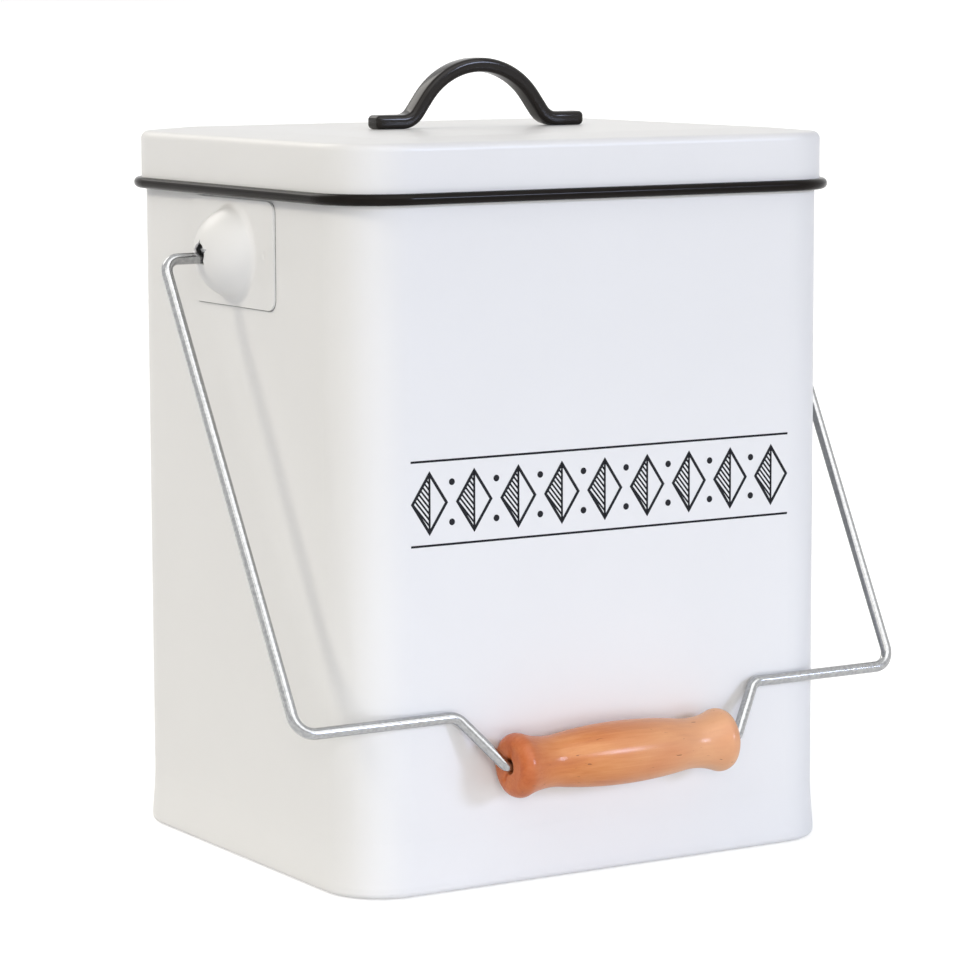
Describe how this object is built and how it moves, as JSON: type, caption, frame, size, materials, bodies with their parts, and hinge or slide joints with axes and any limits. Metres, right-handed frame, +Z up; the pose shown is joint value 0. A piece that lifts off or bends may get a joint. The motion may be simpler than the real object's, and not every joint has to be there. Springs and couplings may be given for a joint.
{
  "type": "compost caddy",
  "caption": "Sheet steel kitchen caddy of rounded-rectangle plan with a deep lift-off lid, a strap lid handle and a swinging wire bail with a turned wooden grip.",
  "frame": {"origin": "centre of the base, on the plane that the caddy stands on", "axes": "+Z up; the bail hangs at the front, -Y; +X to the right seen from the front, along the bail's pivot line"},
  "size_m": [0.2334, 0.1782, 0.2556],
  "materials": {
    "white_paint": "semi-gloss powder coat on sheet steel",
    "black_enamel": "gloss",
    "galvanised_wire": "bright galvanised, satin",
    "varnished_wood": "turned, clear varnish",
    "zinc_steel": "zinc plated"
  },
  "bodies": {
    "caddy": {"body_wrap": "white_paint", "base_pan": "white_paint", "ear_left": "white_paint", "ear_right": "white_paint"},
    "bail": {"bail_wire": "galvanised_wire"},
    "grip": {"grip": "varnished_wood"},
    "lid": {"lid_shell": "white_paint", "lid_rim": "black_enamel", "lid_handle": "black_enamel", "handle_screws": "zinc_steel"}
  },
  "joints": [
    {"name": "lid_lift", "type": "slide", "parent": "caddy", "child": "lid", "axis": [0, 0, 1], "range_m": [0, 0.06]},
    {"name": "bail_swing", "type": "hinge", "parent": "caddy", "child": "bail", "pos_m": [0, 0, 0.19408], "axis": [-1, 0, 0], "range_deg": [0, 300.8]},
    {"name": "grip_spin", "type": "hinge", "parent": "bail", "child": "grip", "pos_m": [0, -0.08748, 0.03987], "axis": [1, 0, 0], "continuous": true}
  ]
}
